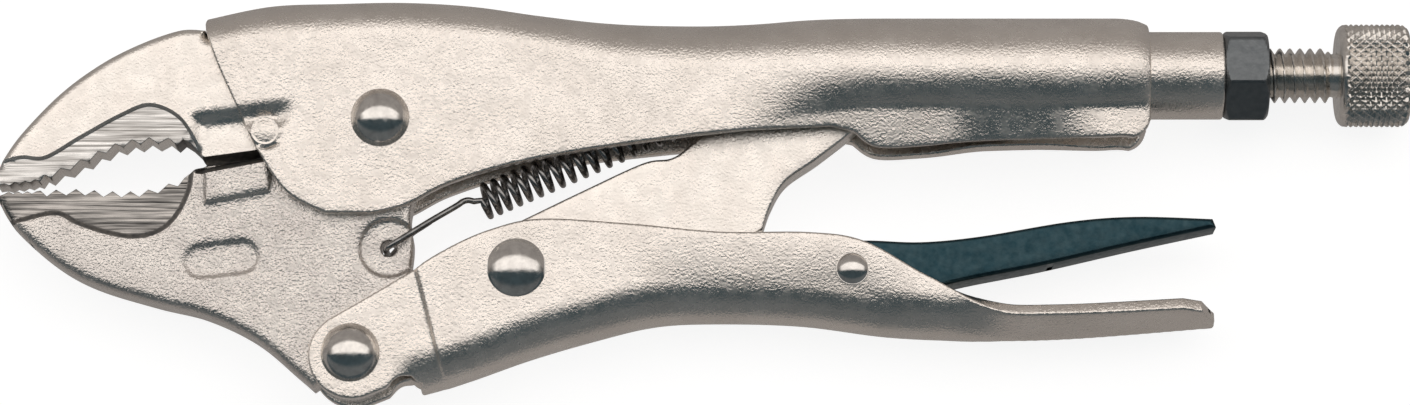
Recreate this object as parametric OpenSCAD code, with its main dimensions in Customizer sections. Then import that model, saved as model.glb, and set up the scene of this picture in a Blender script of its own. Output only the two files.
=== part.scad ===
// Locking pliers with curved jaws, 250 mm class, closed and locked.
// The side view is drawn in the XY plane round the jaw pivot: +X runs from the jaws to the
// knurled knob, +Y towards the back of the upper handle, and Z is the direction of the pivots.
// At the end the whole tool is moved so that it lies on Z = 0 with its outline centred on X and Y.

/* [Sheet metal] */
// Thickness of both pressed handles
sheet = 2.35; // [2.2:0.05:2.4]
// Inside width of the upper channel and of the front ears of the lower handle
channel_gap = 9.4; // [9.3:0.05:9.5]
// Radius of the two long corners of the upper handle
back_corner_r = 4.6; // [3.5:0.1:4.8]
// Half of the width of the lower handle behind its joggle
grip_half_w = 8; // [7.9:0.05:8.1]
// Radius of the barrel that holds the adjusting screw
barrel_r = 10.3; // [10.2:0.05:10.4]

/* [Jaws] */
// Depth of the coarse pipe teeth
tooth_depth = 1.1; // [0.8:0.1:1.3]
// Pitch of the fine nose serrations
nose_pitch = 1.55; // [1.3:0.05:1.9]
// Depth of the fine nose serrations
nose_depth = 0.45; // [0.3:0.05:0.5]
// Depth of the ground faces below the forged faces
ground_step = 0.7; // [0.4:0.1:1]
// Height of the cutter block above the side of the moving jaw
cutter_rise = 0.7; // [0.3:0.1:0.9]
// Diameter of the hole for the spring hook
spring_hole_d = 3.4; // [3:0.1:3.6]

/* [Rivets] */
// Shank diameter of the three large rivets
rivet_d = 6.4; // [5.6:0.2:6.6]
// Head diameter of the three large rivets
rivet_head_d = 10.5; // [10:0.1:10.8]
// Shank diameter of the release lever rivet
lever_rivet_d = 3.6; // [3.2:0.2:4]
// Head diameter of the release lever rivet
lever_head_d = 5.8; // [5.4:0.1:6.2]
// Gap on the radius of every turning bore
turning_fit = 0.05; // [0.02:0.01:0.08]

/* [Adjusting screw] */
// Outside diameter of the thread
thread_d = 9.8; // [9.6:0.1:10]
// Pitch of the thread
thread_pitch = 1.8; // [1.6:0.1:2]
// Size of the lock nut across its flats
nut_af = 15; // [14.6:0.1:15.4]
// Turn of the lock nut from a flat facing up
nut_turn = 17.8; // [0:0.1:59]
// Diameter of the knurled knob
knob_d = 18.4; // [17:0.1:19]
// Rounding of the edges of the knob
knob_edge_r = 1.8; // [1:0.1:2.2]

/* [Spring] */
// Outside diameter of the coils
spring_d = 6.8; // [6.4:0.1:7]
// Diameter of the spring wire
wire_d = 1.15; // [1:0.05:1.3]
// Number of coils
spring_coils = 17; // [14:1:20]

/* [Hidden] */
$fn = 48;

plate = [0.80, 0.76, 0.70];
ground_steel = [0.72, 0.68, 0.64];
rivet_steel = [0.62, 0.60, 0.58];
black_oxide = [0.13, 0.17, 0.19];
spring_steel = [0.30, 0.29, 0.28];
screw_steel = [0.66, 0.63, 0.58];
cut = 0.5;                 // how far a cutting shape runs past the face that it cuts
side_play = 0.1;           // gap between a moving flat part and the plate beside it
curve_steps = 4;           // straight pieces in each span of a smooth outline

// Pivots
handle_pivot = [-4.9, -42.1];
link_pivot = [24.3, -27.1];
link_tail = [90, 6.6];
lever_pivot = [83.6, -27.3];
spring_hole = [1.6, -23];
lock_pin = [-20.4, -2.4];
lock_pin_d = 5;
lock_pin_dome = 0.35;
tab_hole = [57.4, 7.2];
tab_hole_d = 2.2;
tab_low = [55.2, 5.4];
tab_size = [5, 11.4, 2.4];
screw_y = 8.9;

// Ends of the tool, which place the origin
nose_x = -68;
knob_end_x = 183.2;
back_y = 22.1;
ear_low_y = -50.3;
lay_flat = [-(nose_x + knob_end_x) / 2, -(back_y + ear_low_y) / 2, barrel_r];

// Widths
jaw_w = channel_gap - 2 * side_play;
wall_half_w = channel_gap / 2 + sheet;
link_w = 8;
link_washer_d = 12;
leaf_w = 5;
leaf_thickness = 0.5;
lever_head_h = 1.3;
lever_gap = 1.1;           // gap between the release lever and each wall of the lower handle
lever_w = 2 * (grip_half_w - sheet - lever_gap);

// Stations along the screw
sleeve_x = [112, 150];
nut_x = [150, 158];
tip_x = 97.2;
tip_land = 4;
thread_end_x = 169;
knob_x = 170.4;
shank_end_x = 181;
shank_r = 4;
sleeve_gap = 0.12;          // gap on the radius between the sleeve and the faceted barrel
sleeve_r = barrel_r - sheet - sleeve_gap;
sleeve_chamfer = 0.4;

// Pressed and stamped details of the jaws
slot_depth = 1;
seat_depth = 0.5;
spring_seat_d = 10.8;
stamp_at = [-28, -25];
stamp_size = [13, 5.8];
stamp_turn = 7;
lug_r = 7.4;

// Smooth line through points (Catmull-Rom); the first and last points are ends
function pick(p, i) = p[max(0, min(len(p) - 1, i))];
function between(a, b, c, d, t) =
    0.5 * (2 * b + (c - a) * t + (2 * a - 5 * b + 4 * c - d) * t * t
           + (3 * b - a - 3 * c + d) * t * t * t);
function smooth(p, steps = curve_steps) = [
    for (i = [0 : len(p) - 2])
        for (k = [0 : steps - 1])
            between(pick(p, i - 1), p[i], p[i + 1], pick(p, i + 2), k / steps),
    p[len(p) - 1]
];
function arc(c, r, from, to, steps = 10) =
    [for (i = [0 : steps]) c + r * [cos(from + (to - from) * i / steps), sin(from + (to - from) * i / steps)]];
function ease(x, a, b) = let (t = max(0, min(1, (x - a) / (b - a)))) t * t * (3 - 2 * t);
function mix(a, b, t) = a + (b - a) * t;
// Height of a smooth line at x, where its points run from left to right
function height(p, x) = let (q = [for (i = [0 : len(p) - 2]) if (x <= p[i + 1][0] || i == len(p) - 2) i][0],
                             t = (x - p[q][0]) / (p[q + 1][0] - p[q][0]))
    between(pick(p, q - 1), p[q], p[q + 1], pick(p, q + 2), t)[1];

// ---- Outlines of the upper handle
back_line = [[-31.5, 19], [-20, 21.4], [-8, 21.9], [4, 22.1], [16, 21.4], [28, 19.7], [40, 18.3],
             [52, 17.8], [66, 17.9], [80, 18.7], [100, 19.1], [136.9, 19.2]];
front_edge = [[-31.3, 16.4], [-29.3, 10.4], [-25.7, 2.5], [-21.9, -5.5], [-16.4, -13.4], [-9.6, -17.1]];
belly_edge = [[-1.5, -17.2], [4.7, -15.7], [12.1, -11.9], [24, -8.2], [40, -5.4], [61.6, -2.9], [80, -1.7]];
flange_edge = [[84, -2.6], [88, -5.2], [95.7, -5.1], [108, -4], [128, -3.5]];
shell_end = arc([132.9, 0.4], 4, -80, -10, 5);
upper_side = concat([[-31.5, 30]], smooth(front_edge), smooth(belly_edge), smooth(flange_edge), shell_end,
                    [[136.9, 30]]);

// ---- Outlines of the jaws
fixed_top = [[-67.7, -8], [-64.1, -2.5], [-57.2, 4.9], [-50.1, 10.3], [-43.1, 14], [-36, 16.5], [-31.5, 16.5]];
fixed_hidden = [[-31.2, 14.5], [-25, 16.2], [-16, 17.2], [-6, 17.6]];
fixed_rear_r = 12.2;
fixed_cutter = [[-22.4, -6.2], [-31.2, -7.4], [-32.1, -5.9], [-33.6, -4.4]];
fixed_slot = [[-32.4, -0.6], [-16, 1.6], [-16, 3.6], [-32.2, 1.4]];
moving_cutter = [[-21, -6.5], [-31.2, -7.8], [-33.6, -9.4]];
cutter_block = [[-31, -14.8], [-31.2, -9.9], [-22, -7.7], [-20.2, -12.6]];
nose_round = 0.4;
upper_teeth = [[-59.6, -9.8], [-53.3, -7.1], [-47.2, -4.2], [-41.2, -3.1], [-35.1, -3.4]];
lower_teeth = [[-60.3, -12.6], [-54, -12.3], [-47.5, -12.7], [-41.2, -12.4], [-34.8, -10.3]];
boss_r = 11.8;
jaw_outer = [[-67.4, -15.2], [-64.8, -19.2], [-57.6, -25.5], [-50.3, -29.5], [-39.6, -32.8], [-30.5, -35.1],
             [-21.7, -39.4], [-14.5, -45.4], [-11.5, -48]];
jaw_rear = [[1.6, -45.6], [3.6, -40], [4.4, -33], [5.5, -26.5], [5.9, -22], [5.4, -16.5], [8.2, -8.5]];
fixed_ground = [[-69, -8], [-63.9, -6.7], [-59.5, -6.7], [-53.4, -3.1], [-46.3, 0.9], [-41, 2.8],
                [-35.7, 0.4], [-32, -5.4]];
moving_ground = [[-69, -19.6], [-65.2, -18.4], [-57.7, -16.7], [-53.7, -18.4], [-48.6, -20.1], [-43.5, -20.9],
                 [-39.1, -19.8], [-36.1, -17], [-34.1, -12.8], [-33.6, -9.6]];

function backwards(line) = [for (i = [len(line) - 1 : -1 : 0]) line[i]];
// Teeth along a line: every other point is pushed off it by the depth
function toothed(line, depth) = let (q = smooth(line, 4))
    [for (i = [0 : len(q) - 1]) q[i] + (i % 2 == 1 ? [0, -depth] : [0, 0])];
function serrated(from, to, pitch, depth) = let (n = floor(norm(to - from) / pitch), d = (to - from) / n)
    [for (i = [0 : n - 1]) each [from + d * i, from + d * (i + 0.5) + [0, -depth]]];

// ---- Outlines of the lower handle
ear_centre = [-4.6, -42.6];
ear_r = ear_centre[1] - ear_low_y;
grip_top = [[-9.2, -36.4], [2.9, -29.3], [12.1, -23.6], [20, -20.1], [28.6, -18.3], [43.6, -19.1], [60, -20.6],
            [76, -20.7], [85.8, -22.3], [96.8, -28.4], [107.8, -33.2], [120, -33.8], [142, -32.8]];
grip_low = [[7.2, -48.9], [15.9, -46.3], [26.5, -42.5], [37.2, -39.3], [47.8, -36.7], [58, -36], [74.4, -36.4],
            [90.4, -38.4], [106, -39], [122.4, -38.7], [147.8, -36.7]];
web_front_x = 7.6;
grip_end_x = 147.8;
ear_chin = [[1.5, -48.4], [6, -46.3], [web_front_x, -47.4]];
lower_side = concat(smooth(grip_top), [[145.4, -34.2], [grip_end_x, -36.2]],
                    [[grip_end_x, -60], [web_front_x, -60]], backwards(ear_chin), arc(ear_centre, ear_r, -75, -218, 14));

// ---- Outlines of the small levers
link_top = [[25, -18], [36, -12.6], [46.7, -7.6], [52.2, -6.5], [58, -2], [70, 4.6], [84, 9.6]];
link_rear = [[88.4, 2.2], [83.6, -2.2], [77.6, -6.9], [72, -10.9], [69.3, -15.3], [67.8, -19.6]];
link_heel = [[66.4, -22.4], [64, -23.2]];
link_low = [[58, -25.6], [44, -30], [31, -33.6]];
link_boss_r = 7.2;
link_tail_r = 4.4;
lever_top = [[62.6, -27.2], [72, -25.3], [79, -22.4], [85.9, -21.6], [95.7, -21.9], [106.3, -20.9],
             [122.3, -18.2], [134, -17.3], [146.8, -17.8]];
lever_low = [[148.2, -18.7], [133.4, -22.4], [117.3, -26.1], [103.7, -28.8], [94, -31.2], [84, -32.6],
             [72, -31], [62.6, -28.9]];

// ---- Building blocks
module prism(outline, w) translate([0, 0, -w / 2]) linear_extrude(w) polygon(outline);

module both_sides() for (side = [0, 1]) mirror([0, 0, side]) children();

module pin_bore(at, d, w = 4 * barrel_r)
    translate([at[0], at[1], -w / 2]) cylinder(h = w, d = d);

// Flat shape cut into both sides of a jaw
module sunk(depth) both_sides() translate([0, 0, jaw_w / 2 - depth]) linear_extrude(depth + cut) children();

// Oblong with round ends
module obround(length, width) hull()
    for (end = [-1, 1]) translate([end * (length - width) / 2, 0]) circle(d = width);

// Rivet with a domed head on both sides of a grip
module rivet(at, d, head_d, grip, head_h) {
    dome_r = (head_d * head_d / 4 + head_h * head_h) / (2 * head_h);
    translate([at[0], at[1], 0]) {
        translate([0, 0, -grip / 2]) cylinder(h = grip, d = d);
        both_sides() intersection() {
            translate([0, 0, grip / 2 + head_h - dome_r]) sphere(dome_r);
            translate([0, 0, grip / 2]) cylinder(h = head_h + cut, d = head_d + cut);
        }
    }
}

// Solid of revolution round the screw axis; the profile holds [x, radius] points
module on_screw_axis(profile)
    translate([0, screw_y, 0]) rotate([0, 90, 0]) rotate([0, 0, 90])
        rotate_extrude() polygon([for (p = profile) [p[1], p[0]]]);

// Skin between rings of points, closed by a cap at each end
module sweep(rings) {
    n = len(rings[0]);
    m = len(rings);
    sides = [for (i = [0 : m - 2]) for (k = [0 : n - 1])
        let (a = i * n + k, b = i * n + (k + 1) % n) each [[a, b, b + n], [a, b + n, a + n]]];
    polyhedron([for (r = rings) each r],
               concat(sides, [[for (k = [0 : n - 1]) n - 1 - k], [for (k = [0 : n - 1]) (m - 1) * n + k]]));
}

// Closed ring of a channel at x, from half of its outer and inner lines of [z, y] points
function ring(x, outer, inner) = let (n = len(outer), half = concat(outer, [for (i = [1 : n]) inner[n - i]]),
                                      m = len(half))
    concat([for (p = half) [x, p[1], p[0]]],
           [for (i = [2 : m - 1]) let (p = half[m - i]) [x, p[1], -p[0]]]);

// Half section of the upper handle: a channel that turns into a barrel.
// A channel point and a barrel point with the same index are blended.
corner_steps = 5;
wall_steps = 5;
barrel_turn = 138;           // degrees from the back of the barrel round to its flange
shoulder_drop = 0.95;
function channel_half(top, half_w, r, low) = concat(
    [[0, top]],
    [for (i = [0 : corner_steps]) let (a = 90 - 90 * i / corner_steps)
        [half_w - r + r * cos(a), top - r + r * sin(a)]],
    [for (i = [1 : wall_steps]) [half_w, mix(top - r, low, i / wall_steps)]]);
function barrel_half(r, flange, low) = concat(
    [for (i = [0 : corner_steps + wall_steps - 1]) let (a = 90 - barrel_turn * i / (corner_steps + wall_steps - 1))
        [r * cos(a), screw_y + r * sin(a)]],
    [[flange, mix(screw_y - r, low, 0.35)], [flange, low]]);

module upper_shell() {
    low = -21;
    shoulder_x = 130.6;
    shoulder_l = 6.4;
    stations = concat([for (i = [4 : -1 : 0]) shoulder_x + shoulder_l * sin(22.5 * i)], [116, 108, 100],
                      [for (x = [92 : -4 : 56]) x], [for (x = [52 : -7 : -32]) x]);
    sweep([for (x = stations)
        let (top = height(back_line, x), round_part = ease(x, 56, 90),
             fall = max(0, x - shoulder_x) / shoulder_l,
             r = barrel_r - 2 * (1 - sqrt(1 - shoulder_drop * fall * fall)),
             flange = mix(6.6, 5.4, ease(x, 97, 114)), wall_low = mix(low, -8, ease(x, 30, 80)))
        ring(x, [for (i = [0 : corner_steps + wall_steps + 1])
                 mix(channel_half(top, wall_half_w, back_corner_r, wall_low)[i],
                     barrel_half(r, flange, wall_low)[i], round_part)],
             [for (i = [0 : corner_steps + wall_steps + 1])
                 mix(channel_half(top - sheet, wall_half_w - sheet, back_corner_r - sheet, wall_low)[i],
                     barrel_half(barrel_r - sheet, flange - sheet, wall_low)[i], round_part)])]);
}

// Tab under the back of the handle that holds the rear hook of the spring
module spring_tab() translate([tab_low[0], tab_low[1], -tab_size[2] / 2]) cube(tab_size);

module upper_handle() color(plate) difference() {
    union() {
        intersection() {
            upper_shell();
            prism(upper_side, 4 * barrel_r);
        }
        spring_tab();
    }
    pin_bore([0, 0], rivet_d);
    pin_bore(lock_pin, lock_pin_d);
    pin_bore(tab_hole, tab_hole_d, tab_size[2] + 2 * cut);
}

module fixed_jaw() color(ground_steel) {
    outline = concat(smooth(fixed_top), smooth(fixed_hidden), arc([0, 0], fixed_rear_r, 112, 196, 12),
                     fixed_cutter, backwards(toothed(upper_teeth, tooth_depth)),
                     serrated([-60.4, -11], [nose_x + nose_round, -12], nose_pitch, -nose_depth),
                     [[nose_x, -11.6], [nose_x, -9]]);
    difference() {
        prism(outline, jaw_w);
        sunk(ground_step) polygon(concat(smooth(fixed_ground), [[-32, -14], [-69, -14]]));
        sunk(slot_depth) polygon(fixed_slot);
        pin_bore(lock_pin, lock_pin_d);
    }
}

// Pin that holds the fixed jaw in the channel, staked flush with a low dome
module jaw_lock_pin() color(plate)
    rivet(lock_pin, lock_pin_d, lock_pin_d, 2 * wall_half_w, lock_pin_dome);

module jaw_pivot_rivet() color(rivet_steel)
    rivet([0, 0], rivet_d, rivet_head_d, 2 * wall_half_w, barrel_r - wall_half_w);

module moving_jaw() color(ground_steel) {
    outline = concat(smooth(jaw_outer), arc(handle_pivot, lug_r, -138, -40, 8), smooth(jaw_rear),
                     arc([0, 0], boss_r, -30, 196, 28), moving_cutter,
                     backwards(toothed(lower_teeth, tooth_depth)),
                     serrated([-61, -12.7], [nose_x + nose_round, -12.8], nose_pitch, nose_depth),
                     [[nose_x, -13.6]]);
    difference() {
        union() {
            prism(outline, jaw_w);
            prism(cutter_block, jaw_w + 2 * cutter_rise);
        }
        sunk(ground_step) polygon(concat(smooth(moving_ground), [[-33.6, -5], [-69, -5]]));
        sunk(seat_depth) translate(stamp_at) rotate(stamp_turn) obround(stamp_size[0], stamp_size[1]);
        sunk(seat_depth) translate(spring_hole) circle(d = spring_seat_d);
        pin_bore([0, 0], rivet_d + 2 * turning_fit);
        pin_bore(handle_pivot, rivet_d + 2 * turning_fit);
        pin_bore(spring_hole, spring_hole_d);
    }
}

// Half section of the lower handle, from the bottom centre up the wall.
// The wall stands in to the ears in front of a slanting joggle line, and leans in to a lip at the tail.
function joggle(x, y) = let (lean = (y + 28.3) * 0.26) ease(x, 5.6 - lean, 7.8 - lean);
function grip_half(x, low, half_w, ear_w, r, top, lip) = concat(
    [[0, low]],
    [for (i = [0 : corner_steps]) let (a = -90 + 90 * i / corner_steps)
        [half_w - r + r * cos(a), low + r + r * sin(a)]],
    [for (i = [1 : wall_steps + 2]) let (y = mix(low + r, top, i / (wall_steps + 2)))
        [mix(ear_w, half_w, joggle(x, y)) - lip * max(0, y - top + lip_h) / lip_h, y]]);
lip_h = 3.4;

module lower_shell() {
    ear_w = wall_half_w;
    bare_low = -64;
    web_x = web_front_x - 0.1;
    stations = concat([-14, 3, 5, 6.4, web_x - 0.3], [for (x = [web_x : 1 : 12]) x],
                      [for (x = [14 : 8 : 94]) x], [for (x = [100 : 6 : 142]) x], [grip_end_x + cut]);
    sweep([for (x = stations)
        let (has_web = x >= web_x, low = has_web ? height(grip_low, x) : bare_low,
             top = x < 96 ? -14 : height(grip_top, min(x, 142)) + 1.5,
             r = mix(7.4, 3.4, ease(x, 96, 116)), lip = 1.3 * ease(x, 100, 118))
        ring(x, grip_half(x, low, grip_half_w, ear_w, r, top, lip),
             grip_half(x, low + sheet, grip_half_w - sheet, ear_w - sheet, r - 0.9 * sheet, top, lip))]);
}

module lower_handle() color(plate) difference() {
    intersection() {
        lower_shell();
        prism(lower_side, 4 * barrel_r);
    }
    pin_bore(handle_pivot, rivet_d);
    pin_bore(link_pivot, rivet_d);
    pin_bore(lever_pivot, lever_rivet_d);
}

module handle_pivot_rivet() color(rivet_steel)
    rivet(handle_pivot, rivet_d, rivet_head_d, 2 * wall_half_w, barrel_r - wall_half_w);

module link_rivet() color(rivet_steel)
    rivet(link_pivot, rivet_d, rivet_head_d, 2 * grip_half_w, barrel_r - grip_half_w);

module lever_rivet() color(rivet_steel)
    rivet(lever_pivot, lever_rivet_d, lever_head_d, 2 * grip_half_w, lever_head_h);

// Washer between the link and one wall of the lower handle
module link_washer(side) color(rivet_steel) {
    gap = grip_half_w - sheet - link_w / 2 - side_play;
    translate([link_pivot[0], link_pivot[1], side > 0 ? grip_half_w - sheet - gap : -(grip_half_w - sheet)])
        difference() {
            cylinder(h = gap, d = link_washer_d);
            translate([0, 0, -cut]) cylinder(h = gap + 2 * cut, d = rivet_d);
        }
}
module link_washer_left() link_washer(-1);
module link_washer_right() link_washer(1);

module toggle_link() color(plate) difference() {
    prism(concat(smooth(link_top), arc(link_tail, link_tail_r, 100, -70, 12), smooth(link_rear),
                 link_heel, smooth(link_low), arc(link_pivot, link_boss_r, -75, -235, 14)), link_w);
    pin_bore(link_pivot, rivet_d + 2 * turning_fit);
}

module release_lever() color(black_oxide) difference() {
    prism(concat(smooth(lever_top), smooth(lever_low)), lever_w);
    pin_bore(lever_pivot, lever_rivet_d + 2 * turning_fit);
}

// Leaf under the lever that pushes its tail up again
module lever_spring() color(spring_steel) {
    top = [[70, -32.7], [78, -33.3], [88, -34.6]];
    prism(concat(smooth(top), [for (p = backwards(top)) p - [0, leaf_thickness]]), leaf_w);
}

// Coil envelope with a groove between the coils, and a hook of bent wire at each end
module return_spring() color(spring_steel) {
    from = [18.4, -14];
    to = [52.6, 1];
    length = norm(to - from);
    pitch = length / spring_coils;
    coil_r = spring_d / 2;
    bore_r = coil_r - 1.6 * wire_d;
    stub_d = 0.8 * wire_d;
    stub_root = 0.7;
    profile = concat([for (i = [0 : 2 * spring_coils])
                          [coil_r - (i % 2 == 0 ? wire_d / 2 : 0), i * pitch / 2]],
                     [[bore_r, length], [bore_r, 0]]);
    translate([from[0], from[1], 0]) rotate([0, 0, atan2(to[1] - from[1], to[0] - from[0])]) {
        rotate([0, 90, 0]) rotate_extrude() polygon(profile);
        translate([stub_root, coil_r - wire_d, 0]) rotate([0, -90, 0]) cylinder(h = 3.4, d = stub_d);
        translate([length - stub_root, coil_r - wire_d, 0]) rotate([0, 90, 0]) cylinder(h = 2.6, d = stub_d);
    }
}

module threaded_sleeve() color(plate)
    on_screw_axis([[sleeve_x[0], thread_d / 2 + turning_fit], [sleeve_x[0], sleeve_r],
                   [sleeve_x[1] - sleeve_chamfer, sleeve_r],
                   [sleeve_x[1], sleeve_r - sleeve_chamfer], [sleeve_x[1], thread_d / 2 + turning_fit]]);

module lock_nut() color(black_oxide) {
    corner = nut_af / sqrt(3);
    chamfer = 1;
    flat_r = nut_af / 2 - side_play;
    bore_r = thread_d / 2 + turning_fit;
    intersection() {
        translate([nut_x[0], screw_y, 0]) rotate([nut_turn, 0, 0]) rotate([0, 90, 0])
            cylinder(h = nut_x[1] - nut_x[0], r = corner, $fn = 6);
        on_screw_axis([[nut_x[0], bore_r], [nut_x[0], flat_r], [nut_x[0] + chamfer, corner + side_play],
                       [nut_x[1] - chamfer, corner + side_play], [nut_x[1], flat_r], [nut_x[1], bore_r]]);
    }
}

// Screw with a ring groove for each thread, a plain tip and a plain shank in the knob
module adjusting_screw() color(screw_steel) {
    first = tip_x + tip_land;
    turns = floor((thread_end_x - first) / thread_pitch);
    crest = thread_d / 2;
    root = crest - 0.6 * thread_pitch;
    flat = 0.12 * thread_pitch;
    tip_chamfer = 0.6;
    on_screw_axis(concat([[tip_x, 0], [tip_x, root - tip_chamfer], [tip_x + tip_chamfer, root], [first, root]],
        [for (i = [0 : turns - 1]) let (x = first + i * thread_pitch)
            each [[x + flat, root], [x + thread_pitch / 2 - flat / 2, crest],
                  [x + thread_pitch / 2 + flat / 2, crest], [x + thread_pitch - flat, root]]],
        [[first + turns * thread_pitch, shank_r], [shank_end_x, shank_r], [shank_end_x, 0]]));
}

module adjusting_knob() color(screw_steel) {
    r = knob_d / 2;
    hole = shank_r + turning_fit;
    on_screw_axis(concat([[knob_x, hole]],
        [for (a = [180 : -15 : 90]) [knob_x + knob_edge_r * (1 + cos(a)), r - knob_edge_r * (1 - sin(a))]],
        [for (a = [90 : -15 : 0]) [knob_end_x - knob_edge_r * (1 - cos(a)), r - knob_edge_r * (1 - sin(a))]],
        [[knob_end_x, 0], [shank_end_x + side_play, 0], [shank_end_x + side_play, hole]]));
}

translate(lay_flat) {
    upper_handle();
    fixed_jaw();
    jaw_lock_pin();
    jaw_pivot_rivet();
    threaded_sleeve();
    return_spring();
    moving_jaw();
    lower_handle();
    handle_pivot_rivet();
    link_rivet();
    lever_rivet();
    link_washer_left();
    link_washer_right();
    toggle_link();
    release_lever();
    lever_spring();
    lock_nut();
    adjusting_screw();
    adjusting_knob();
}
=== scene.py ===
import math

import bmesh
import bpy
import numpy as np
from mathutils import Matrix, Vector
from mathutils.geometry import delaunay_2d_cdt


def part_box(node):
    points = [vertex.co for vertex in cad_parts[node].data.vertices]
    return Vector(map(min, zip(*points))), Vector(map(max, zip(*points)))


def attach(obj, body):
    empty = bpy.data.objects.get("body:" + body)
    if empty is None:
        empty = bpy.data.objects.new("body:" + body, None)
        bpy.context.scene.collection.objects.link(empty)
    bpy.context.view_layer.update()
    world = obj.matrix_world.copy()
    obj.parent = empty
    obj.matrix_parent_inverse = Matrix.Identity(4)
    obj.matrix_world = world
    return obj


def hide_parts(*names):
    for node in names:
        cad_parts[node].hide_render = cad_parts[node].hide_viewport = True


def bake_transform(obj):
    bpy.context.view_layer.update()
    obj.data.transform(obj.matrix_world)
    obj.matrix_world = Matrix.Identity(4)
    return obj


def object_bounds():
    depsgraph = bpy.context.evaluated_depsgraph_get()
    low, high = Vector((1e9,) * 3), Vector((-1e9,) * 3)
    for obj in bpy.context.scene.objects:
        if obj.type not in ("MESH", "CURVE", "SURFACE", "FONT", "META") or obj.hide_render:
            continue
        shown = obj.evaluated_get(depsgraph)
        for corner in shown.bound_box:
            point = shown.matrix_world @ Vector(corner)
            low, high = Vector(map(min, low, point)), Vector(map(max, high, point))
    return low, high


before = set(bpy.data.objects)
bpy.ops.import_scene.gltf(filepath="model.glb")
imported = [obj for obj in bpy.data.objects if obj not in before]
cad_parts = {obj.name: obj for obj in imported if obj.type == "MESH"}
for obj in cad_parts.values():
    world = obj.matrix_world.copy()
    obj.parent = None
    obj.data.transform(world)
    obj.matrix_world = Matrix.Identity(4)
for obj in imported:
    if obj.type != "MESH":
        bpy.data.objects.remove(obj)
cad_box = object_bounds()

# Locking pliers. Every length below is in mm, in a drawing whose origin is the jaw pivot at the
# middle of the thickness: +X runs to the knurled knob, +Y to the back of the upper handle.
MM = 0.001


def middle_of(node):
    low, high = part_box(node)
    return (np.array(low) + np.array(high)) / 2 / MM


def size_of(node):
    low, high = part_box(node)
    return (np.array(high) - np.array(low)) / MM


def corners_of(node):
    low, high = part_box(node)
    return np.array(low) / MM - ORIGIN, np.array(high) / MM - ORIGIN


ORIGIN = middle_of("jaw_pivot_rivet")
HANDLE_PIVOT = (middle_of("handle_pivot_rivet") - ORIGIN)[:2]
LINK_PIVOT = (middle_of("link_rivet") - ORIGIN)[:2]
LEVER_PIVOT = (middle_of("lever_rivet") - ORIGIN)[:2]
LOCK_PIN = (middle_of("jaw_lock_pin") - ORIGIN)[:2]
SCREW_Y = (middle_of("adjusting_screw") - ORIGIN)[1]
BARREL_R = size_of("jaw_pivot_rivet")[2] / 2
SHEET = 2.35
JAW_HALF = size_of("fixed_jaw")[2] / 2
WALL_HALF = JAW_HALF + 0.1 + SHEET
GRIP_HALF = 8.0
GROUND_STEP = 0.7
CUTTER_RISE = 0.7
PITCH = 1.8
SPRING_HOLE = np.array([1.6, -23.0])
NOSE_X = corners_of("fixed_jaw")[0][0]
TOOTH_DEPTH = 1.1
NOSE_PITCH = 1.55
NOSE_DEPTH = 0.45
BOSS_R = 11.8
SEAT_R = 12.2
LUG_R = 7.4
RIVET_D = 6.4
RIVET_HEAD_D = 10.5
SCREW_BORE_R = 4.95
# Radii of the edges that are forged, sheared from sheet, sawn, and cut as teeth
FORGED_EDGE = 1.5
SHEET_EDGE = 0.45
SAWN_EDGE = 0.3
TOOTH_EDGE = 0.14
# The pressed faces lie this far inside the solid's, so that their soft waves stay inside it too
WAVE = 0.05


# ---- Lines and fields in the flat drawing

def smooth(points, steps=8):
    """Catmull-Rom line through points."""
    p = [np.array(q, float) for q in points]
    last = len(p) - 1
    line = []
    for i in range(last):
        a, b, c, d = p[max(i - 1, 0)], p[i], p[i + 1], p[min(i + 2, last)]
        for t in np.arange(steps) / steps:
            line.append(0.5 * (2 * b + (c - a) * t + (2 * a - 5 * b + 4 * c - d) * t ** 2
                               + (3 * b - a - 3 * c + d) * t ** 3))
    return np.array(line + [p[last]])


def arc(centre, radius, start, stop, steps=24):
    angles = np.radians(np.linspace(start, stop, steps + 1))
    return np.array(centre) + radius * np.stack([np.cos(angles), np.sin(angles)], axis=1)


def ease(x, low, high):
    t = np.clip((x - low) / (high - low), 0, 1)
    return t * t * (3 - 2 * t)


def mix(a, b, t):
    return a + (b - a) * t


def height(points, x):
    """Height at x of a smooth line that runs from left to right."""
    line = smooth(points, 12)
    return np.interp(x, line[:, 0], line[:, 1])


def divide(line, step):
    """The same line with extra points, so that no stretch is longer than step."""
    out = []
    for a, b in zip(line[:-1], line[1:]):
        n = max(1, math.ceil(np.linalg.norm(b - a) / step))
        out.extend(a + (b - a) * k / n for k in range(n))
    return np.array(out + [line[-1]])


def toothed(points, depth, steps=4):
    line = smooth(points, steps)
    line[1::2, 1] -= depth
    return line


def serrated(start, end, pitch, depth):
    start, end = np.array(start), np.array(end)
    n = int(np.linalg.norm(end - start) / pitch)
    out = []
    for i in range(n):
        out.append(start + (end - start) * i / n)
        out.append(start + (end - start) * (i + 0.5) / n + [0, -depth])
    return np.array(out)


def gap_to(points, a, b):
    """Distance from each point to the nearest of the stretches from a to b."""
    ab = b - a
    length2 = np.maximum((ab ** 2).sum(1), 1e-12)
    out = []
    for chunk in np.array_split(points, max(1, len(points) // 1500)):
        rel = chunk[:, None] - a[None]
        t = np.clip((rel * ab).sum(2) / length2, 0, 1)
        out.append(np.linalg.norm(rel - t[..., None] * ab, axis=2).min(1))
    return np.concatenate(out)


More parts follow.
